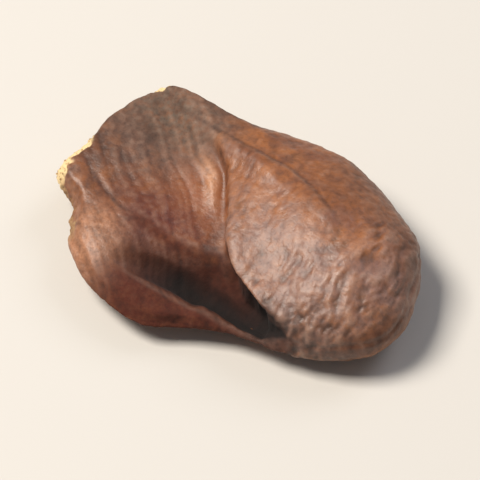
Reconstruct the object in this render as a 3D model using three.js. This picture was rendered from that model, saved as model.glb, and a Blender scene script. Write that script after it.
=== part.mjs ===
// One mahogany seed, with its wing broken off short, lying on the flat of its belly.
// Millimetres, +Z up. The round kernel end points along +X, the torn wing along -X, and the thick
// back margin along +Y. The origin is at the middle of the seed's length and width, at its lowest point.
import * as THREE from 'three';
import { mergeVertices } from 'three/addons/utils/BufferGeometryUtils.js';

const { lerp, clamp, smoothstep, radToDeg } = THREE.MathUtils;

// Driving dimensions
const LENGTH = 27;
const WIDTH = 17.9;
const KERNEL_TOP = 7.1;

// The belly is flat out to this far from under the kernel's centre. Its round would sink this deep there.
const BELLY_FLAT = 5.0;
const BELLY_SINK = 0.28;

// The wall where the kernel stands over the groove: it leans in under the kernel by a share of its height.
const WALL_WIDTH = 0.45;
const WALL_BULGE = 0.05;
const UNDERCUT = 0.3;

// The brow is the raised edge of the kernel above that wall, at its full height here and lower at the wall.
const BROW_STEEPNESS = 3;
const BROW_FALL = 0.35;
const BROW_FALL_STEEPNESS = 12;

// The kernel's ridge, seen from above: it crosses the middle of the length at RIDGE_Y and slants.
const RIDGE_Y = 3.7;
const RIDGE_SLANT = -0.26;
const ROOF_SLOPE = 0.2;
const ROOF_ROUNDING = 1.6;

// The groove at the wall's foot, seen from above, is a shallow bow along the front of the seed. It is
// furthest back at GROOVE_TURN, and it deepens and ends over these stretches of the length. The front lip
// beyond it runs straight along the seed at LIP_Y, and droops towards the kernel over a stretch of its own.
const GROOVE_TURN = [0.3, -4.2];
const GROOVE_BOW = 0.035;
const GROOVE_TO_WING = 2.3;
const GROOVE_TO_LIP = 2.3;
const GROOVE_DEPTH = 1.5;
const GROOVE_START = [-9.5, 0];
const GROOVE_END = [4, 7.5];
const LIP_Y = -6.5;
const LIP_HALF_WIDTH = 1.3;
const LIP_DROOP = 0.5;
const LIP_START = [-3, 3.5];

// The foot of the kernel's wall eases out into the wing by this power.
const FOOT_EASE = 2;

// How full the kernel's swelling and the belly's are, as powers of their round profiles, and how the
// kernel runs out into the wing, within this share of its own reach
const SWELLING = [2.3, 0.55];
const BELLY_SWELLING = [2.4, 0.6];
const SADDLE_POWER = 2.6;
const SADDLE_SHARE = 0.85;
const ROOF_REACH = 1.3;

// The break: how far its ragged line and its frayed face stand out, and how long the snags are
const TEAR = [{ size: 0.28, step: 2.3, phase: 6 }, { size: 0.17, step: 0.9, phase: 40 }];
const FRAY = { size: 0.45, step: 0.7, phase: 80, rowPhase: 7 };

// The height of the slow ripple that growth leaves all over
const RIPPLE = 0.09;

// The grid that covers the seed: columns go round it, rows go from the top of the kernel to the belly.
const COLUMNS = 124;
const DOME_ROWS = 10;
const WALL_ROWS = 3;
const WEB_ROWS = 18;
const RIM_ROWS = 4;
const BELLY_ROWS = 9;
// Rows crowd towards the kernel's edge and towards the rim by these powers.
const DOME_CROWDING = 0.85;
const WEB_CROWDING = 1.35;
const BELLY_CROWDING = 1.6;
const ROWS = DOME_ROWS + WALL_ROWS + WEB_ROWS + RIM_ROWS + BELLY_ROWS;

// The seed's outline from above, in half lengths and half widths, against the clock from its round end.
const OUTLINE = [
  [0.99, -0.15], [0.955, 0.2], [0.85, 0.54], [0.62, 0.8], [0.33, 0.98], [0.05, 1.01], [-0.3, 0.96],
  [-0.6, 0.98], [-0.85, 0.92], [-0.95, 0.67], [-1.0, 0.26], [-1.01, -0.12], [-0.9, -0.31], [-0.82, -0.55],
  [-0.7, -0.77], [-0.5, -0.93], [-0.23, -1.0], [-0.02, -0.85], [0.2, -0.73], [0.5, -0.7], [0.75, -0.6],
  [0.92, -0.42],
];
const KERNEL_CENTRE = new THREE.Vector2(0.36 * LENGTH / 2, 0.21 * WIDTH / 2);
// The kernel reaches at most this share of the way to the rim.
const KERNEL_MOST = 0.9;

// A value that changes smoothly with the bearing from the kernel's centre, in degrees from +X towards +Y.
// The pairs are bearing and value, in rising order, and the last runs on into the first.
function compass(pairs) {
  const count = pairs.length;
  const bearingOf = (k) => pairs[((k % count) + count) % count][0] + 360 * Math.floor(k / count);
  const valueOf = (k) => pairs[((k % count) + count) % count][1];
  const slopeOf = (k) => (valueOf(k + 1) - valueOf(k - 1)) / (bearingOf(k + 1) - bearingOf(k - 1));
  return (bearing) => {
    let k = -1;
    while (bearingOf(k + 1) <= bearing) k += 1;
    const span = bearingOf(k + 1) - bearingOf(k);
    const t = (bearing - bearingOf(k)) / span;
    const rise = valueOf(k + 1) - valueOf(k);
    const a = slopeOf(k) * span - rise;
    const b = rise - slopeOf(k + 1) * span;
    return valueOf(k) + t * rise + t * (1 - t) * (a * (1 - t) + b * t);
  };
}

// How each part of the seed changes with the bearing, in millimetres where it is a size
const kernelReach = compass([[0, 7.0], [45, 5.8], [90, 6.0], [120, 7.4], [145, 9.6], [156, 10.4], [162, 10.3],
  [165, 9.2], [169, 8.2], [179, 7.1], [196, 6.4], [213, 6.4], [240, 6.6], [262, 7.0], [278, 7.8],
  [290, 8.4], [310, 8.6], [335, 7.8]]);
const shelfHeight = compass([[0, 4.0], [90, 4.6], [130, 4.7], [150, 4.9], [158, 5.1], [163, 4.6], [175, 4.4],
  [190, 4.2], [206, 3.9], [218, 3.6], [232, 3.0], [250, 2.6], [280, 2.5], [320, 3.6]]);
const shoulderRise = compass([[0, 0], [156, 0], [163, 0.3], [172, 0.6], [190, 1.0], [212, 1.6], [236, 2.1],
  [257, 2.1], [275, 1.6], [290, 0.8], [310, 0]]);
const footSink = compass([[0, 0], [156, 0], [163, 0.3], [172, 0.5], [190, 0.9], [205, 0.9], [218, 0.7],
  [236, 0.5], [257, 0.5], [275, 0.4], [290, 0.2], [310, 0]]);
const rimMiddle = compass([[0, 3.0], [60, 3.2], [90, 3.3], [130, 3.2], [156, 3.1], [180, 2.9], [206, 2.4],
  [225, 2.0], [250, 1.8], [280, 1.9], [310, 2.5]]);
const rimHalfThickness = compass([[0, 0.3], [90, 0.4], [140, 0.6], [155, 1.0], [180, 0.85], [206, 0.55],
  [225, 0.36], [260, 0.32], [290, 0.3]]);
const rimRounding = compass([[0, 1.8], [90, 2.2], [140, 2.2], [152, 1.0], [160, 0.4], [188, 0.5],
  [201, 1.6], [214, 2.6], [230, 1.5], [245, 0.8], [280, 0.8], [320, 1.4]]);
const bellyReach = compass([[0, 8.3], [90, 8.0], [130, 11.0], [160, 12.0], [190, 13.0], [215, 14.5],
  [240, 12.0], [270, 8.6]]);
const roundness = compass([[0, 1], [60, 1], [92, 1], [112, 0.8], [135, 0.25], [152, 0], [180, 0], [262, 0],
  [275, 0.2], [290, 0.9], [300, 1]]);
const tornShare = compass([[0, 0], [149, 0], [156, 1], [203, 1], [212, 0], [300, 0]]);

// Uneven growth: a slow ripple over the surface, between -1 and 1
function unevenness(x, y) {
  return (Math.sin(0.62 * x + 0.35 * y + 1) + Math.sin(-0.41 * x + 0.83 * y + 1.7)
    + Math.sin(1.15 * x - 0.55 * y + 2.9)) / 3;
}

// A fixed draw between -1 and 1 for each whole number, and a line that runs through such draws
function draw(n) {
  const s = Math.sin(127.1 * n + 11.7) * 43758.5453;
  return 2 * (s - Math.floor(s)) - 1;
}

function jagged(distance, { size, step, phase }) {
  const n = Math.floor(distance / step);
  return size * lerp(draw(n + phase), draw(n + 1 + phase), distance / step - n);
}

function bump(t, middle, reach) {
  const d = (t - middle) / reach;
  return Math.abs(d) < 1 ? (1 - d * d) ** 2 : 0;
}

// One column of the grid: what the seed measures along the line from the kernel's centre to one rim point
function columnAt(rimPoint, distance) {
  const line = rimPoint.clone().sub(KERNEL_CENTRE);
  const bearing = (radToDeg(line.angle()) + 360) % 360;
  const torn = clamp(tornShare(bearing), 0, 1);
  const round = clamp(roundness(bearing), 0, 1);
  const half = rimHalfThickness(bearing);
  const rimWidth = lerp(half * (1 - round), FRAY.size, torn);
  const tear = TEAR.reduce((sum, snag) => sum + jagged(distance, snag), 0);
  const reach = line.length() - rimWidth + torn * tear;
  const kernel = Math.min(kernelReach(bearing), KERNEL_MOST * reach);
  const rise = shoulderRise(bearing);
  const sink = footSink(bearing);
  const drop = (1 - round) * (rise + sink);
  return {
    direction: line.normalize(), bearing, distance, torn, round, rimWidth, reach, kernel, rise, sink, drop,
    webStart: kernel + WALL_WIDTH - UNDERCUT * drop,
    rimTop: rimMiddle(bearing) + half,
    rimFoot: rimMiddle(bearing) - half,
  };
}

// A point of a column, seen from above
function planPoint(column, out) {
  return column.direction.clone().multiplyScalar(out).add(KERNEL_CENTRE);
}

// How far the groove sinks the upper face, and how far the front lip droops
function grooveDrop(column, out) {
  const { x, y } = planPoint(column, out);
  const across = y - GROOVE_TURN[1] + GROOVE_BOW * (x - GROOVE_TURN[0]) ** 2;
  const along = smoothstep(x, ...GROOVE_START) * (1 - smoothstep(x, ...GROOVE_END));
  return GROOVE_DEPTH * along * bump(across, 0, across > 0 ? GROOVE_TO_WING : GROOVE_TO_LIP);
}

function lipDroop(column, out) {
  const { x, y } = planPoint(column, out);
  const along = smoothstep(x, ...LIP_START) * (1 - smoothstep(x, ...GROOVE_END));
  return LIP_DROOP * along * bump(y, LIP_Y, LIP_HALF_WIDTH);
}

// The height of the upper face where the seed swells evenly from its rim to the kernel's top
function swellingHeight(column, out) {
  const t = Math.min(out / column.reach, 1);
  return column.rimTop + (KERNEL_TOP - column.rimTop) * (1 - t ** SWELLING[0]) ** SWELLING[1];
}

// The height of the upper face where the kernel runs out into the stub of the wing
function saddleHeight(column, out) {
  const shelf = shelfHeight(column.bearing);
  const fade = Math.exp(-((out / (SADDLE_SHARE * column.kernel)) ** SADDLE_POWER));
  return lerp(shelf, KERNEL_TOP, fade);
}

// The broad face of the kernel leans to the front, away from its ridge, and the back falls off behind it.
// This fades out a little way beyond the kernel.
function roofDrop(column, out) {
  const { x, y } = planPoint(column, out);
  const edge = Math.min(ROOF_REACH * column.kernel, column.reach);
  const kernelShare = Math.max(1 - (out / edge) ** 2, 0);
  const fromRidge = Math.hypot(y - RIDGE_Y - RIDGE_SLANT * x, ROOF_ROUNDING) - ROOF_ROUNDING;
  return ROOF_SLOPE * fromRidge * kernelShare;
}

// How far out a point of the upper face is, and how far the brow, the groove or the lip moves it up or down
function browPoint(column, share) {
  const out = column.kernel * share;
  const fall = BROW_FALL * share ** BROW_FALL_STEEPNESS;
  return { out, step: column.rise * share ** BROW_STEEPNESS * (1 - fall) };
}

function wallPoint(column, share) {
  const bulge = WALL_BULGE * column.drop * Math.sin(Math.PI * share);
  const out = lerp(column.kernel, column.webStart, share) + bulge;
  const foot = -column.sink - grooveDrop(column, column.webStart);
  return { out, step: lerp((1 - BROW_FALL) * column.rise, foot, share) };
}

function webPoint(column, share) {
  const width = column.reach - column.webStart;
  const out = column.webStart + width * (1 - (1 - share) ** WEB_CROWDING);
  const away = (out - column.webStart) / width;
  const foot = -column.sink * (1 - away) ** FOOT_EASE;
  return { out, step: foot - lipDroop(column, out) - grooveDrop(column, out) };
}

function upperPoint(column, row) {
  let point;
  if (row <= DOME_ROWS) point = browPoint(column, Math.sin((row / DOME_ROWS) * Math.PI / 2) ** DOME_CROWDING);
  else if (row <= DOME_ROWS + WALL_ROWS) point = wallPoint(column, (row - DOME_ROWS) / WALL_ROWS);
  else point = webPoint(column, (row - DOME_ROWS - WALL_ROWS) / WEB_ROWS);
  const { out, step } = point;
  const inward = Math.min((column.reach - out) / rimRounding(column.bearing), 1);
  const rolled = Math.sqrt(Math.max(1 - (1 - inward) ** 2, 0));
  const stepped = lerp(column.rimTop, saddleHeight(column, out) + step, rolled);
  const z = lerp(stepped, swellingHeight(column, out), column.round) - roofDrop(column, out);
  return { out, z };
}

// The edge between the two faces, rounded where it is whole and frayed where it is torn
function rimPointOf(column, row) {
  const turn = Math.PI * (row / RIM_ROWS - 0.5);
  const fray = jagged(column.distance, { ...FRAY, phase: FRAY.phase + FRAY.rowPhase * row });
  return {
    out: column.reach + (column.rimWidth + column.torn * fray) * Math.cos(turn),
    z: lerp(column.rimTop, column.rimFoot, (1 + Math.sin(turn)) / 2),
  };
}

// The lower face, from the rim in to the belly, which is flat where it would sink below the ground
function lowerPoint(column, row) {
  const out = column.reach * (1 - (row / BELLY_ROWS) ** BELLY_CROWDING);
  const swelling = 1 - (1 - (out / column.reach) ** BELLY_SWELLING[0]) ** BELLY_SWELLING[1];
  const flatter = smoothstep(out, BELLY_FLAT, bellyReach(column.bearing));
  const share = lerp(flatter, swelling, column.round);
  return { out, z: (column.rimFoot + BELLY_SINK) * share - BELLY_SINK };
}

function gridPoint(column, row) {
  const upperRows = DOME_ROWS + WALL_ROWS + WEB_ROWS;
  let point;
  if (row <= upperRows) point = upperPoint(column, row);
  else if (row <= upperRows + RIM_ROWS) point = rimPointOf(column, row - upperRows);
  else point = lowerPoint(column, row - upperRows - RIM_ROWS);
  const { x, y } = planPoint(column, point.out);
  return new THREE.Vector3(x, y, Math.max(point.z + RIPPLE * unevenness(x, y), 0));
}

// The grid's triangles: each cell is split between the two opposite corners that are nearer in height,
// so that the split runs along a ridge or a groove. The cells at the two ends are triangles already.
function cellSplits(position) {
  const triangles = [];
  for (let row = 0; row < ROWS; row += 1) {
    for (let j = 0; j < COLUMNS; j += 1) {
      const upper = row * (COLUMNS + 1) + j;
      const lower = upper + COLUMNS + 1;
      const [a, b, c, d] = [upper + 1, upper, lower, lower + 1].map((corner) => position.getZ(corner));
      if (row === 0) triangles.push(upper, lower, lower + 1);
      else if (row === ROWS - 1) triangles.push(upper + 1, upper, lower + 1);
      else if (Math.abs(b - d) > Math.abs(a - c)) {
        triangles.push(upper + 1, upper, lower, upper + 1, lower, lower + 1);
      } else triangles.push(upper + 1, upper, lower + 1, upper, lower, lower + 1);
    }
  }
  return triangles;
}

function seedGeometry() {
  const corners = OUTLINE.map(([u, v]) => new THREE.Vector3(u * LENGTH / 2, v * WIDTH / 2, 0));
  const outline = new THREE.CatmullRomCurve3(corners, true, 'centripetal');
  const spacing = outline.getLength() / COLUMNS;
  const columns = outline.getSpacedPoints(COLUMNS).slice(0, COLUMNS)
    .map((p, j) => columnAt(new THREE.Vector2(p.x, p.y), j * spacing));

  const geometry = new THREE.SphereGeometry(1, COLUMNS, ROWS);
  const position = geometry.getAttribute('position');
  for (let row = 0; row <= ROWS; row += 1) {
    const pole = row === 0 || row === ROWS;
    for (let j = 0; j <= COLUMNS; j += 1) {
      const p = gridPoint(columns[pole ? 0 : j % COLUMNS], row);
      position.setXYZ(row * (COLUMNS + 1) + j, p.x, p.y, p.z);
    }
  }
  geometry.setIndex(cellSplits(position));
  geometry.deleteAttribute('normal');
  geometry.deleteAttribute('uv');
  const closed = mergeVertices(geometry, 1e-4);
  closed.computeBoundingBox();
  const { min, max } = closed.boundingBox;
  closed.translate(-(min.x + max.x) / 2, -(min.y + max.y) / 2, -min.z);
  closed.computeVertexNormals();
  return closed;
}

const seedCoat = new THREE.MeshStandardMaterial({ color: 0x7a4a33, roughness: 0.5, metalness: 0 });
const seed = new THREE.Mesh(seedGeometry(), seedCoat);
seed.name = 'seed';

const part = new THREE.Group();
part.add(seed);

export default part;
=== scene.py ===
# One dried mahogany seed, its wing broken off short, lying on a pale floor.
import math

import bpy
import numpy as np
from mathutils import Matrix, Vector, noise
from mathutils.bvhtree import BVHTree


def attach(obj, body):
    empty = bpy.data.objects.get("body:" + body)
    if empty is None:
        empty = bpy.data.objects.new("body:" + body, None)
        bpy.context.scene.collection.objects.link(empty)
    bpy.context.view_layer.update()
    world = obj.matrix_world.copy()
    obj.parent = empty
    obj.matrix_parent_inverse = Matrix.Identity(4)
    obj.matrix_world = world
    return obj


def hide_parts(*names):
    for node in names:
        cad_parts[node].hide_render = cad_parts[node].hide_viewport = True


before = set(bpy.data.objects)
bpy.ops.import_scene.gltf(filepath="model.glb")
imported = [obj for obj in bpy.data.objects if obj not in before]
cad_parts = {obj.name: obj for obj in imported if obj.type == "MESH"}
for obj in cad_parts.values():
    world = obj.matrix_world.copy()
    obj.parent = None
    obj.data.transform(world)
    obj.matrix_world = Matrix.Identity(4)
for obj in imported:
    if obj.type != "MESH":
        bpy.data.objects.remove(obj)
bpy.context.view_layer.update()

# The seed, its form
# A winged seed of the mahogany tree, dried in its pod: a firm kernel in a spongy brown coat, which runs
# out on one side into the stub of a papery wing. It grew as one piece, so it is one closed mesh here.
# Its lengths are in millimetres, which MM turns into metres, and its bearings in degrees from +X.
MM = 0.001
WELD = 0.005
QUAD_ANGLE = math.radians(60)
GRAIN = 0.118
SMOOTHING = 0.5
SETTLING_ROUNDS = 5

seed = bpy.data.objects.new("mahogany_seed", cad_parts["seed"].data.copy())
bpy.context.scene.collection.objects.link(seed)
bpy.ops.object.select_all(action="DESELECT")
seed.select_set(True)
bpy.context.view_layer.objects.active = seed
bpy.ops.object.mode_set(mode="EDIT")
bpy.ops.mesh.select_all(action="SELECT")
bpy.ops.mesh.remove_doubles(threshold=WELD * MM)
bpy.ops.mesh.tris_convert_to_quads(face_threshold=QUAD_ANGLE, shape_threshold=QUAD_ANGLE)
bpy.ops.object.mode_set(mode="OBJECT")

rounding = seed.modifiers.new("rounding", "SUBSURF")
rounding.levels = rounding.render_levels = 2
bpy.ops.object.modifier_apply(modifier=rounding.name)
even = seed.modifiers.new("even", "REMESH")
even.mode = "VOXEL"
even.voxel_size = GRAIN * MM
even.use_smooth_shade = True
bpy.ops.object.modifier_apply(modifier=even.name)
settling = seed.modifiers.new("settling", "SMOOTH")
settling.factor = SMOOTHING
settling.iterations = SETTLING_ROUNDS
bpy.ops.object.modifier_apply(modifier=settling.name)


def points_of(mesh, what):
    flat = np.zeros(3 * len(mesh.vertices))
    mesh.vertices.foreach_get(what, flat)
    return flat.reshape(-1, 3)


def soft_step(low, high, value):
    t = np.clip((value - low) / (high - low), 0, 1)
    return t * t * (3 - 2 * t)


def stretch(value, start, full, fading, end):
    """1 from full to fading, easing down to 0 at start and at end."""
    return soft_step(start, full, value) * soft_step(end, fading, value)


def hump(value, middle, reach):
    d = np.clip(np.abs(value - middle) / reach, 0, 1)
    return (1 - d * d) ** 2


def grown(points, size, shift):
    """Smooth uneven growth between -1 and 1, in lumps of one size in mm, or of one each along x, y and z."""
    return np.array([noise.noise(Vector(p)) for p in points / np.array(size) + shift])


def read_off(pairs, at):
    """The second number of the pairs where the first is as given, level beyond their ends."""
    return np.interp(at, *zip(*pairs))


FAR = 1e9


def distance_to(line, points):
    """How far each point is from a line of (x, y) points seen from above, in mm, and how far along it."""
    nearest = np.full(len(points), FAR)
    along = np.zeros(len(points))
    passed = 0.0
    for a, b in zip(line, line[1:]):
        a, b = np.array(a), np.array(b)
        length = np.linalg.norm(b - a)
        t = np.clip((points[:, :2] - a) @ (b - a) / length**2, 0, 1)
        d = np.linalg.norm(points[:, :2] - a - t[:, None] * (b - a), axis=1)
        closer = d < nearest
        nearest = np.where(closer, d, nearest)
        along = np.where(closer, passed + t * length, along)
        passed += length
    return nearest, along / passed


# The kernel's edge by bearing, and its skin there, which is drawn soft and round over the groove
KERNEL_MIDDLE = (4.9, 1.8)
KERNEL_REACH = [(0, 9), (140, 9.8), (158, 10.6), (163, 10.2), (166, 9.0), (170, 8.1), (180, 7.1), (196, 6.4),
                (213, 6.4), (240, 6.6), (262, 7.0), (278, 7.8), (290, 9), (360, 9)]
BROW_BEARINGS = (160, 292)
BROW_MIDDLE = 0.1
BROW_WIDTH = 1.3
SLACKENING_ROUNDS = 24


def bearing_and_reach(points):
    east, north = (points[:, :2] - KERNEL_MIDDLE).T
    return np.degrees(np.arctan2(north, east)) % 360, np.hypot(east, north)


bearing, out = bearing_and_reach(points_of(seed.data, "co") / MM)
brow = seed.vertex_groups.new(name="brow")
softness = hump(read_off(KERNEL_REACH, bearing) - out, BROW_MIDDLE, BROW_WIDTH)
softness *= (bearing > BROW_BEARINGS[0]) & (bearing < BROW_BEARINGS[1])
for n in np.flatnonzero(softness > 0.01):
    brow.add([int(n)], float(softness[n]), "REPLACE")
slackening = seed.modifiers.new("slackening", "SMOOTH")
slackening.factor = SMOOTHING
slackening.iterations = SLACKENING_ROUNDS
slackening.vertex_group = brow.name
bpy.ops.object.modifier_apply(modifier=slackening.name)
seed.vertex_groups.clear()


def distance_to_rim(bearing, out):
    """How far each point is from the seed's rim, which is the furthest point in each degree of bearing."""
    furthest = np.zeros(360)
    np.maximum.at(furthest, bearing.astype(int) % 360, out)
    around = np.arange(-3, 363)
    return np.interp(bearing, around + 0.5, furthest[around % 360]) - out


# The rim is drawn out or in by these millimetres at each bearing, and the coat inside it follows
RIM_DRAW = [(0, -0.25), (50, -0.2), (90, 0.0), (108, 0.3), (125, 0.45), (136, 0.6), (146, 0.35), (153, 0.2),
            (165, 0.3), (183, 0.4), (189, 0.8), (194, 0.0), (215, 0.0), (280, 0.0), (300, -0.2), (330, -0.2),
            (360, -0.25)]
RIM_FOLLOWS = 5.0
place = points_of(seed.data, "co") / MM
bearing, out = bearing_and_reach(place)
drawn = read_off(RIM_DRAW, bearing) * soft_step(RIM_FOLLOWS, 0, distance_to_rim(bearing, out))
place[:, :2] += (drawn / out)[:, None] * (place[:, :2] - KERNEL_MIDDLE)
seed.data.vertices.foreach_set("co", (place * MM).ravel())
seed.data.update()

# Where each point is: its bearing from the kernel's middle, and how far it is from there and from the rim
facing = points_of(seed.data, "normal")
x, y, z = place.T
bearing, out = bearing_and_reach(place)
inside = read_off(KERNEL_REACH, bearing) - out
to_rim = distance_to_rim(bearing, out)

# The underside is what sees the floor straight below it
DOWN = Vector((0, 0, -1))
CLEAR_OF_SKIN = 0.03
solid = BVHTree.FromPolygons(points_of(seed.data, "co").tolist(), [f.vertices[:] for f in seed.data.polygons])
below = [solid.ray_cast(Vector(p + CLEAR_OF_SKIN * n) * MM, DOWN)[0] is None for p, n in zip(place, facing)]
under = np.array(below) * soft_step(0.25, -0.25, facing[:, 2])
upper = 1 - under

# How high each point near the kernel's edge is, from the foot of the edge to its brow, by sectors
SECTOR = 4
EDGE_BAND = 1.0
LOWEST_EDGE = 0.3
sector = (bearing // SECTOR).astype(int)
near_edge = (np.abs(inside) < EDGE_BAND) & (upper > 0.5)
foot = np.full(360 // SECTOR, FAR)
top = np.full(360 // SECTOR, -FAR)
np.minimum.at(foot, sector[near_edge], z[near_edge])
np.maximum.at(top, sector[near_edge], z[near_edge])
around = np.arange(-1, 360 // SECTOR + 1)
foot_height = np.interp(bearing, SECTOR * (around + 0.5), foot[around % len(foot)])
top_height = np.interp(bearing, SECTOR * (around + 0.5), top[around % len(top)])
level = (z - foot_height) / np.maximum(top_height - foot_height, LOWEST_EDGE)

# The lines of growth on the upper face, as points seen from above
KERNEL_BORDER = [(-8.5, 6.2), (-6.2, 5.4), (-4.4, 4.5), (-3.2, 3.5), (-2.4, 1.9), (-1.4, 0.1), (-0.6, -1.6)]
BACK_CREASE = [(-9.4, 6.4), (-6.8, 5.9), (-3.6, 5.2), (-1.3, 4.7), (1.1, 4.4), (2.6, 3.8), (5.7, 2.1),
               (7.6, 0.6)]
FOLD = [(-7.6, -1.9), (-6.2, -2.1), (-3.6, -2.5), (-1.5, -2.3), (-0.1, -2.0), (1.2, -2.8), (3.6, -4.2),
        (6.4, -5.4)]
GROOVE = [(-6.0, -5.6), (-3.8, -4.9), (-1.9, -4.6), (0.4, -4.6), (2.8, -4.9), (4.6, -5.4), (6.3, -6.2)]
LIP_CREST = [(-8, -6.6), (-5.7, -6.4), (-3.0, -6.5), (4.0, -6.4), (6.6, -6.4)]
LOBE_LINE = [(-12.6, 0.5), (-11.4, -0.7), (-9.95, -1.5), (-8.4, -2.2), (-7.0, -2.4)]
past_fold = read_off(FOLD, x) - y
before_lip = y - read_off(LIP_CREST, x)

# How far each point belongs to the kernel, which stands over the groove in a steep wall, or to the wing
WALLED_BEARINGS = (162, 175, 282, 292)
GROOVE_STRETCH = (-7.5, -3.0, 5.6, 7.2)
walled = stretch(bearing, *WALLED_BEARINGS)
edge = soft_step(-0.2, 0.7, inside)
raised = np.maximum(soft_step(1.3, 2.2, inside), soft_step(0.45, 0.8, level)) * soft_step(-1.2, -0.3, inside)
kernel = (edge + walled * (raised - edge)) * upper
web = (1 - kernel) * soft_step(0.7, 0.1, inside - 0.9 * walled) * upper
groove_stretch = stretch(x, *GROOVE_STRETCH)

# Wrinkles cross the kernel about every millimetre, faint on its top and deepest towards the round end
WRINKLE_LENGTHS = (0.6, 1.4, 0.8)
FINE_WRINKLE_LENGTHS = (0.29, 0.66, 0.38)
WRINKLE_DEPTH = 0.14
PATCH_LENGTH = 2.2
SWAY_LENGTH = 3.5
SWAY = 0.6
sway = SWAY * grown(place, SWAY_LENGTH, (3, 0, 0))
swayed = place + np.stack([sway, -sway, 0 * sway], axis=1)
wrinkles = grown(swayed, WRINKLE_LENGTHS, (0, 7, 0)) + 0.5 * grown(swayed, FINE_WRINKLE_LENGTHS, (9, 0, 2))
patchy = 0.75 + 0.5 * grown(place, PATCH_LENGTH, (2, 6, 1))
towards_end = patchy * (0.4 + 0.8 * soft_step(1, 12, x - 1.1 * y))
wrinkled = wrinkles * towards_end * (kernel + 0.6 * under)
relief = WRINKLE_DEPTH * wrinkled

# Slow dimples where the coat has dried onto the kernel, and fine puckers all over
DIMPLE_LENGTHS = (2.4, 3.0, 2.4)
DIMPLE_DEPTH = 0.14
PUCKER_LENGTH = 0.36
PUCKER_DEPTH = 0.022
dimples = grown(place, DIMPLE_LENGTHS, (6, 1, 4))
puckers = grown(place, PUCKER_LENGTH, (0, 0, 5))
relief += DIMPLE_DEPTH * dimples * kernel + PUCKER_DEPTH * puckers

# Veins that run slantwise over the wing, from its thick back margin to its front lip
ACROSS_VEINS = (0.68, 0.73)
VEIN_SPACING = 0.34
VEIN_SWAY = 0.6
VEIN_SWAY_LENGTH = 4
VEIN_DEPTH = 0.045
across = ACROSS_VEINS[0] * x + ACROSS_VEINS[1] * y + VEIN_SWAY * grown(place, VEIN_SWAY_LENGTH, (0, 5, 1))
vein_points = np.stack([across / VEIN_SPACING, 0.1 * (y - x), 0.1 * z], axis=1)
veins = grown(vein_points, 1, (0, 0, 0))
relief += VEIN_DEPTH * veins * web

# Growth lines: the ridge behind the kernel's top, the edge of the lobe, and the rolled lip by the kernel
RIDGE_HEIGHT = 0.1
RIDGE_FOOT_DEPTH = 0.06
LOBE_LINE_DEPTH = 0.06
ROLL_HEIGHT = 0.17
BORDER_DEPTH = 0.1
crease_gap, crease_along = distance_to(BACK_CREASE, place)
crease_share = upper * stretch(crease_along, 0, 0.15, 0.8, 1)
behind = y > read_off(BACK_CREASE, x)
relief += crease_share * RIDGE_HEIGHT * hump(crease_gap, 0, 0.8)
relief -= crease_share * RIDGE_FOOT_DEPTH * behind * hump(crease_gap, 0.5, 0.4)
lobe_gap, lobe_along = distance_to(LOBE_LINE, place)
lobe_share = web * stretch(lobe_along, 0, 0.1, 0.8, 1)
relief -= LOBE_LINE_DEPTH * lobe_share * hump(lobe_gap, 0, 0.5)
border_gap, border_along = distance_to(KERNEL_BORDER, place)
border_share = hump(border_along, 0.55, 0.35)
relief += ROLL_HEIGHT * web * border_share * hump(border_gap, 0.8, 0.75)
relief -= BORDER_DEPTH * upper * border_share * hump(border_gap, 0, 0.4)

# The slack skin under the brow is drawn in over the groove, and hangs in upright folds
DRAWN_IN_BEARINGS = (212, 235, 262, 278)
DRAWN_IN = 0.45
HANGING_LENGTHS = (0.55, 0.55, 2.5)
FINE_HANGING_LENGTHS = (0.3, 0.3, 1.2)
HANGING_DEPTH = 0.12
hanging = grown(place, HANGING_LENGTHS, (5, 5, 5)) + 0.5 * grown(place, FINE_HANGING_LENGTHS, (2, 5, 5))
under_brow = walled * hump(inside, 0.2, 1.1) * soft_step(0.7, 0.2, facing[:, 2])
relief += (HANGING_DEPTH * hanging - DRAWN_IN * stretch(bearing, *DRAWN_IN_BEARINGS)) * under_brow

# The wing folds down into the groove, which is creased along its deepest line but never cut through
FOLD_STRETCH = (-8.0, -5.5, -0.4, 0.6)
FOLD_CREASE_DEPTH = 0.06
FOLD_DROP = 0.2
GROOVE_DEPTH = 0.6
GROOVE_REACH = 1.1
INSIDE_SKIN = 0.05
THINNEST = 0.45
fold_share = web * stretch(x, *FOLD_STRETCH)
relief -= fold_share * FOLD_CREASE_DEPTH * hump(past_fold, 0.3, 0.6)
relief -= fold_share * FOLD_DROP * soft_step(0.1, 1.3, past_fold) * groove_stretch
groove_gap, _ = distance_to(GROOVE, place)
carving = GROOVE_DEPTH * hump(groove_gap, 0, GROOVE_REACH) * groove_stretch * soft_step(5.6, 4.4, x)
carving *= (1 - kernel) * upper
for n in np.flatnonzero(carving > 0.01):
    through = solid.ray_cast(Vector(place[n] - INSIDE_SKIN * facing[n]) * MM, Vector(-facing[n]))[3]
    carving[n] = min(carving[n], max(through / MM - THINNEST, 0)) if through else 0
relief -= carving

# A seam follows the rim where the two faces meet round the kernel
RIM_HEIGHT = [(0, 3.5), (60, 3.7), (90, 3.9), (150, 4.0), (270, 2.4), (300, 2.9), (360, 3.5)]
SEAMLESS_BEARINGS = (120, 150, 262, 285)
SEAM_LIFT = 0.55
SEAM_SWAY_LENGTHS = (2.6, 2.6, 9)
SEAM_SWAY = 0.5
SEAM_WIDTH = 0.3
SEAM_DEPTH = 0.07
seam_height = read_off(RIM_HEIGHT, bearing) + SEAM_LIFT
seam_height += SEAM_SWAY * grown(place, SEAM_SWAY_LENGTHS, (3, 3, 8))
seam_share = (1 - stretch(bearing, *SEAMLESS_BEARINGS)) * soft_step(3.5, 1.5, to_rim)
relief -= SEAM_DEPTH * seam_share * hump(z, seam_height, SEAM_WIDTH)

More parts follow.
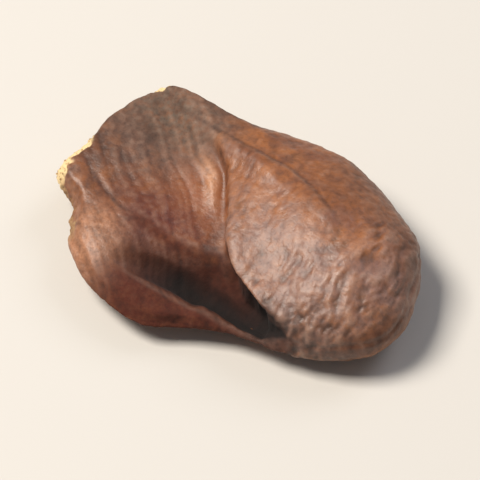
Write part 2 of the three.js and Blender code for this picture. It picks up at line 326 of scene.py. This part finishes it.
# Along the break the brown skin is torn back from the spongy tissue, which frays
BREAK_BEARINGS = (151, 155, 202, 208)
NEW_BREAK_BEARINGS = (172, 182, 190, 193)
NEW_BREAK_TIP = 159
SKIN_GAP = 0.3
NEW_SKIN_GAP = 0.6
RAGGED = 0.3
RAGGED_LENGTHS = (1.5, 1.5, 8)
FINE_RAGGED_LENGTHS = (0.45, 0.45, 4)
FIBRE_LENGTHS = (0.3, 0.3, 0.13)
FIBRE_DEPTH = 0.2
TISSUE_SUNK = 0.12
newly_torn = np.maximum(stretch(bearing, *NEW_BREAK_BEARINGS), hump(bearing, NEW_BREAK_TIP, 3.5))
skin_gap = SKIN_GAP + NEW_SKIN_GAP * newly_torn + RAGGED * grown(place, RAGGED_LENGTHS, (4, 4, 0))
skin_gap += RAGGED * grown(place, FINE_RAGGED_LENGTHS, (1, 8, 0))
torn = stretch(bearing, *BREAK_BEARINGS) * soft_step(0.12, -0.12, to_rim - np.maximum(skin_gap, 0))
relief += torn * (FIBRE_DEPTH * grown(place, FIBRE_LENGTHS, (0, 2, 9)) - TISSUE_SUNK)

place += relief[:, None] * facing
place[:, 2] = np.maximum(place[:, 2], 0)
seed.data.vertices.foreach_set("co", (place * MM).ravel())
seed.data.update()

# The spots of the coat that get a colour: the middle of each, how it is stretched, and its reach. The end of
# the groove gets painted shade, and the lobe partly painted light.
SPOTS = {
    "bloom": ((-9.2, 6.0), (1.5, 1.0), 5.2),
    "outer": ((-11.0, 2.8), (1.0, 1.1), 4.2),
    "warm": ((-3.8, 1.6), (1.0, 1.25), 3.9),
    "red": ((-5.3, -1.7), (1.5, 1.0), 4.0),
    "lobe": ((-8.9, -5.3), (1.0, 1.4), 3.2),
    "groove_end_shade": ((4.9, -5.7), (1.6, 1.0), 1.1),
}
spots = {}
for name, (middle, stretched, reach) in SPOTS.items():
    spots[name] = hump(np.hypot(*((place[:, :2] - middle) / stretched).T), 0, reach)

# Painted shade in the dark hollow, over skin that is darker there: the slope below the fold, the wall under
# the brow, and the end of the groove at the lip
SLOPE_LENGTH = [(-4, 2.0), (-0.5, 0.6)]
LIP_SIDE_LENGTH = [(3, 0.8), (5, 0.3)]
DARK_STRETCH = (-8.5, -3.0, 5.6, 7.2)
slope_shade = soft_step(0.0, 1.3, past_fold / read_off(SLOPE_LENGTH, x)) * stretch(x, *DARK_STRETCH)
slope_shade *= soft_step(0.0, read_off(LIP_SIDE_LENGTH, x), before_lip) * (1 - kernel)
wall_shade = walled * soft_step(206, 236, bearing) * soft_step(0.8, 0.45, level) * hump(inside, 0.5, 2.2)
groove_end_shade = spots["groove_end_shade"] * soft_step(1.0, 0.7, level)
groove = np.maximum(slope_shade, np.sqrt(wall_shade) * soft_step(0.2, 0.7, before_lip))
groove = np.maximum(groove, np.sqrt(groove_end_shade)) * upper
# the darkest painted shade, along the groove's line
deepest = soft_step(-7.0, -2.0, x) * np.maximum(hump(groove_gap, 0.1, 1.5), soft_step(3.0, 4.2, x))

# Fine lines in the creases, and how high the crests of the wrinkles and veins stand: their crests are worn
# pale and get a painted highlight, their troughs painted shade
lines = lobe_share * hump(lobe_gap, 0, 0.3)
lines = np.maximum(lines, 0.6 * crease_share * behind * hump(crease_gap, 0.5, 0.3))
lines = np.maximum(lines, 0.5 * border_share * hump(border_gap, 0, 0.3) * upper)
crest = np.clip(0.5 + 0.8 * (wrinkled + 0.45 * veins * web) + 0.25 * puckers, 0, 1)
# The front lip, for painted shade over its darker reddish skin
lip = soft_step(0.8, -0.2, before_lip) * stretch(x, -9.0, -4.5, 7.0, 8.4) * soft_step(-3.5, -5.0, y)

# What each point of the coat is, and where it gets painted light or shade, kept on it for the colours
towards_front = y + 0.12 * x
AREAS = {
    "torn": torn,
    "fresh": np.clip(0.25 + newly_torn + 0.45 * grown(place, 1.3, (7, 3, 1)), 0, 1),
    "under": under,
    "web": web,
    "powder": np.maximum(kernel * soft_step(4.0, -1.0, towards_front), soft_step(8.5, 12.0, x)) * upper,
    "mauve": kernel * (0.3 + 0.7 * soft_step(4.0, 0.0, towards_front)),
    # the kernel's back, which faces away from the lamp, gets painted shade
    "kernel_back_shade": kernel * (0.45 + 0.55 * soft_step(1.0, 5.0, x)) * soft_step(0.0, 4.3, y),
    # the kernel's lower front right, which faces away from the lamp, gets painted shade
    "low": soft_step(-3.2, -5.6, y) * stretch(x, 5.2, 7.0, 11.0, 13.5),
    "bloom": spots["bloom"] * upper,
    "outer": spots["outer"] * web,
    "warm": spots["warm"] * web,
    "red": spots["red"] * web,
    # the lobe is a paler tan, partly its own colour and partly painted light where it curls up to catch the
    # lamp
    "lobe": spots["lobe"] * web,
    # painted highlight on the rolled lip by the kernel
    "rolled_lip_highlight": web * hump(border_along, 0.5, 0.28) * hump(border_gap, 0.9, 0.8),
    # painted shade on the fold and the top of the slope below it
    "fold": web * hump(past_fold, 0.4, 1.0) * stretch(x, -8.5, -6.0, -0.6, 0.8),
    # the front lip gets painted shade over its darker reddish skin
    "lip": lip * (1 - under * soft_step(0.6, 2.2, to_rim)),
    # painted highlight along the lip's crest
    "lip_crest_highlight": hump(before_lip, 0.15, 0.45) * stretch(x, -7.0, -4.0, 6.0, 8.0) * upper * (1 - kernel),
    # painted shade in the hollow, over skin that is darker there, darkest along the groove
    "groove": groove,
    "deepest": groove * deepest,
    "lines": lines,
    "crest": crest,
}
for name, values in AREAS.items():
    area = seed.data.attributes.new(name, "FLOAT", "POINT")
    area.data.foreach_set("value", values.astype(np.float32))


# The seed, its finish
# The coat is a papery brown skin with a waxy bloom: orange brown over the kernel, darker in the groove
# and on the front lip, where it also gets painted shade, and grey at the back corner. The tissue under it is
# cream, dull and spongy.
def hex_colour(code):
    channels = [int(code[n:n + 2], 16) / 255 for n in (1, 3, 5)]
    return [c / 12.92 if c <= 0.04045 else ((c + 0.055) / 1.055) ** 2.4 for c in channels] + [1]


def add_node(tree, kind, inputs, **settings):
    made = tree.nodes.new(kind)
    for name, value in settings.items():
        setattr(made, name, value)
    for key, value in inputs.items():
        if isinstance(value, bpy.types.NodeSocket):
            tree.links.new(value, made.inputs[key])
        else:
            made.inputs[key].default_value = value
    return made


COAT_ORANGE = hex_colour("#a06234")
COAT_BROWN = hex_colour("#7d4b31")

coat = bpy.data.materials.new("dried_seed_coat")
coat.use_nodes = True
tree = coat.node_tree
tree.nodes.clear()
objects = add_node(tree, "ShaderNodeTexCoord", {}).outputs["Object"]
marks = {}
for name in AREAS:
    marks[name] = add_node(tree, "ShaderNodeAttribute", {}, attribute_name=name).outputs["Fac"]

# Growth stains of four sizes in mm, from blotches that cover half the kernel to the grain of the skin
STAIN_SIZES = {"blotches": 3.4, "stains": 0.9, "flecks": 0.42, "specks": 0.17}
stains = {}
for name, size in STAIN_SIZES.items():
    stain = add_node(tree, "ShaderNodeTexNoise",
                     {"Vector": objects, "Scale": 1 / (size * MM), "Detail": 4, "Roughness": 0.6})
    stains[name] = stain.outputs["Fac"]

# The wrinkles' crests are rubbed pale and given a painted highlight, at most by this share
RUBBED_AND_HIGHLIT_SHARE = 0.3
rubbed_and_highlit = add_node(tree, "ShaderNodeMapRange",
                  {"Value": marks["crest"], "From Min": 0.5, "From Max": 1.0,
                   "To Min": 0.0, "To Max": RUBBED_AND_HIGHLIT_SHARE})
marks["rubbed_and_highlit"] = rubbed_and_highlit.outputs[0]

# The layers of colour over the orange and brown blotches, from the first to the last: the area of each,
# its colour, the stain that breaks it up, and the shares of it that show where that stain is low and high
BLOTCH_RANGE = (0.42, 0.6)
STAIN_RANGE = (0.35, 0.62)
LAYERS = [
    ("under", "#8a5a37", "stains", 0.5, 0.9),
    ("powder", "#815c4a", "flecks", 0.5, 0.95),
    ("mauve", "#86675f", "stains", 0.0, 0.55),
    # painted shade on the kernel's back
    ("kernel_back_shade", "#72452c", "stains", 0.6, 0.95),
    ("web", "#663c26", "stains", 0.6, 1.0),
    ("warm", "#95532a", "stains", 0.3, 0.9),
    ("red", "#5a2009", "stains", 0.6, 1.0),
    # painted highlight on the rolled lip
    ("rolled_lip_highlight", "#be875f", "stains", 0.45, 0.85),
    # partly painted light on the lobe
    ("lobe", "#b07c5d", "flecks", 0.4, 0.95),
    ("bloom", "#69584c", "flecks", 0.45, 1.0),
    ("outer", "#4a2f22", "stains", 0.45, 0.85),
    # painted shade on the kernel's lower front right
    ("low", "#4d3a33", "flecks", 0.3, 0.75),
    # worn pale and painted highlight on the wrinkles' crests
    ("rubbed_and_highlit", "#c49f89", "flecks", 0.6, 1.0),
    # painted shade on the fold
    ("fold", "#4c2214", "stains", 0.4, 0.8),
    # painted shade over the front lip's darker reddish skin
    ("lip", "#4b1b0b", "flecks", 0.8, 1.0),
    # painted shade in the hollow, darkest along the groove
    ("groove", "#421707", "stains", 1.0, 0.85),
    ("deepest", "#0d0504", "stains", 1.0, 0.92),
    # painted highlight along the lip's crest
    ("lip_crest_highlight", "#66473b", "flecks", 0.35, 0.75),
    ("lines", "#3d2218", "flecks", 0.5, 0.9),
]
blotched = add_node(tree, "ShaderNodeMapRange",
                    {"Value": stains["blotches"], "From Min": BLOTCH_RANGE[0], "From Max": BLOTCH_RANGE[1]},
                    interpolation_type="SMOOTHSTEP")
skin = add_node(tree, "ShaderNodeMix",
                {0: blotched.outputs[0], 6: COAT_ORANGE, 7: COAT_BROWN}, data_type="RGBA")
for mark, code, stain, lowest, highest in LAYERS:
    share = add_node(tree, "ShaderNodeMapRange",
                     {"Value": stains[stain], "From Min": STAIN_RANGE[0], "From Max": STAIN_RANGE[1],
                      "To Min": lowest, "To Max": highest})
    share = add_node(tree, "ShaderNodeMath", {0: share.outputs[0], 1: marks[mark]}, operation="MULTIPLY")
    skin = add_node(tree, "ShaderNodeMix",
                    {0: share.outputs[0], 6: skin.outputs[2], 7: hex_colour(code)}, data_type="RGBA")
skin = skin.outputs[2]

# Painted shade in the troughs of the wrinkles, and the specks of the grain, deepen whatever colour is there:
# what darkens it, the value that leaves it as it is, the value that darkens it most, and what is left of it
# there
DEEPENING = [
    (marks["crest"], 0.5, 0.0, 0.45),
    (stains["stains"], 0.52, 0.75, 0.7),
    (stains["specks"], 0.5, 0.3, 0.75),
]
for what, unchanged, darkest, left in DEEPENING:
    share = add_node(tree, "ShaderNodeMapRange",
                     {"Value": what, "From Min": unchanged, "From Max": darkest,
                      "To Min": 1.0, "To Max": left})
    skin = add_node(tree, "ShaderNodeVectorMath", {0: skin, "Scale": share.outputs[0]}, operation="SCALE")
    skin = skin.outputs[0]

# The torn tissue is cream where the break is fresh and stained where it is old, with pores all over whose
# pits get painted shade
PORE = 0.26
PORE_RANGE = (0.1, 0.5)
TISSUE_CREAM = hex_colour("#dfc594")
TISSUE_PIT_SHADE = hex_colour("#8a6236")
TISSUE_STAINED = hex_colour("#80583a")
pores = add_node(tree, "ShaderNodeTexVoronoi", {"Vector": objects, "Scale": 1 / (PORE * MM)})
solid_share = add_node(tree, "ShaderNodeMapRange",
                       {"Value": pores.outputs["Distance"],
                        "From Min": PORE_RANGE[0], "From Max": PORE_RANGE[1]})
tissue = add_node(tree, "ShaderNodeMix",
                  {0: solid_share.outputs[0], 6: TISSUE_PIT_SHADE, 7: TISSUE_CREAM}, data_type="RGBA")
tissue = add_node(tree, "ShaderNodeMix",
                  {0: marks["fresh"], 6: TISSUE_STAINED, 7: tissue.outputs[2]}, data_type="RGBA")
colour = add_node(tree, "ShaderNodeMix", {0: marks["torn"], 6: skin, 7: tissue.outputs[2]}, data_type="RGBA")

# The skin has a waxy gloss, but for the sheltered places, the grey bloom and the tissue, which are dull
WAXY_ROUGHNESS = (0.37, 0.5)
DUSTY_ROUGHNESS = 0.95
TISSUE_ROUGHNESS = 0.85
SPECK_STRENGTH = 0.6
SPECK_DEPTH = 0.05
WAX_IOR = 1.5
roughness = add_node(tree, "ShaderNodeMapRange",
                     {"Value": stains["stains"], "From Min": 0.3, "From Max": 0.7,
                      "To Min": WAXY_ROUGHNESS[0], "To Max": WAXY_ROUGHNESS[1]})
dusty = marks["groove"]
for name in ("lip", "fold", "bloom"):
    dusty = add_node(tree, "ShaderNodeMath", {0: dusty, 1: marks[name]}, operation="MAXIMUM").outputs[0]
roughness = add_node(tree, "ShaderNodeMix", {0: dusty, 2: roughness.outputs[0], 3: DUSTY_ROUGHNESS})
roughness = add_node(tree, "ShaderNodeMix", {0: marks["torn"], 2: roughness.outputs[0], 3: TISSUE_ROUGHNESS})
grain = add_node(tree, "ShaderNodeBump",
                 {"Height": stains["specks"], "Strength": SPECK_STRENGTH, "Distance": SPECK_DEPTH * MM})
surface = add_node(tree, "ShaderNodeBsdfPrincipled",
                   {"Base Color": colour.outputs[2], "Roughness": roughness.outputs[0],
                    "Normal": grain.outputs[0], "IOR": WAX_IOR})
add_node(tree, "ShaderNodeOutputMaterial", {"Surface": surface.outputs[0]})

seed.data.materials.clear()
seed.data.materials.append(coat)
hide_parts("seed")
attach(seed, "root")

# The floor
# A plain pale sheet of matt paper, which shows soft shadows and no shine. It is wide enough to fill every
# view, and it is stage, no part of the seed.
FLOOR_SIZE = 3.0
PAPER_GREY = hex_colour("#cdc9c3")
PAPER_ROUGHNESS = 0.8
bpy.ops.object.select_all(action="DESELECT")
bpy.ops.mesh.primitive_plane_add(size=FLOOR_SIZE)
floor = bpy.context.object
floor.name = "floor"
paper = bpy.data.materials.new("matt_paper")
paper.use_nodes = True
paper.node_tree.nodes["Principled BSDF"].inputs["Base Color"].default_value = PAPER_GREY
paper.node_tree.nodes["Principled BSDF"].inputs["Roughness"].default_value = PAPER_ROUGHNESS
floor.data.materials.append(paper)

# The light
# One broad soft lamp high on the left, a weak one from behind on the right, and an even pale room.
# Distances and sizes are in metres, powers in watts.
AIM = Vector((0, 0, 3.0)) * MM
ROOM_STRENGTH = 0.2


def add_lamp(name, direction, distance, size, power, code):
    lamp = bpy.data.objects.new(name, bpy.data.lights.new(name, "AREA"))
    lamp.data.size = size
    lamp.data.energy = power
    lamp.data.color = hex_colour(code)[:3]
    lamp.location = AIM + direction.normalized() * distance
    lamp.rotation_euler = direction.to_track_quat("Z", "Y").to_euler()
    bpy.context.scene.collection.objects.link(lamp)


add_lamp("main_lamp", Vector((-0.45, -0.2, 0.85)), distance=0.5, size=0.2, power=3.6, code="#fff8ee")
add_lamp("rim_lamp", Vector((0.3, 0.8, 0.75)), distance=0.6, size=0.3, power=0.9, code="#eef3ff")
room = bpy.data.worlds.new("room")
room.use_nodes = True
room.node_tree.nodes["Background"].inputs["Color"].default_value = hex_colour("#f2f4f8")
room.node_tree.nodes["Background"].inputs["Strength"].default_value = ROOM_STRENGTH
bpy.context.scene.world = room
bpy.context.scene.view_settings.view_transform = "Standard"

# The camera
# It looks down on the seed from its front right, as the photograph does, through a long lens.
# VIEW_WIDTH is the width in metres that it takes in at the seed.
VIEW_AZIMUTH = math.radians(30)
VIEW_ELEVATION = math.radians(52)
VIEW_WIDTH = 0.033
LENS = 500
CLIP_START = 0.01
towards_camera = Vector((math.sin(VIEW_AZIMUTH) * math.cos(VIEW_ELEVATION),
                         -math.cos(VIEW_AZIMUTH) * math.cos(VIEW_ELEVATION), math.sin(VIEW_ELEVATION)))
camera = bpy.data.objects.new("camera", bpy.data.cameras.new("camera"))
camera.data.lens = LENS
camera.data.clip_start = CLIP_START
camera.location = AIM + towards_camera * VIEW_WIDTH * LENS / camera.data.sensor_width
camera.rotation_euler = towards_camera.to_track_quat("Z", "Y").to_euler()
bpy.context.scene.collection.objects.link(camera)
bpy.context.scene.camera = camera
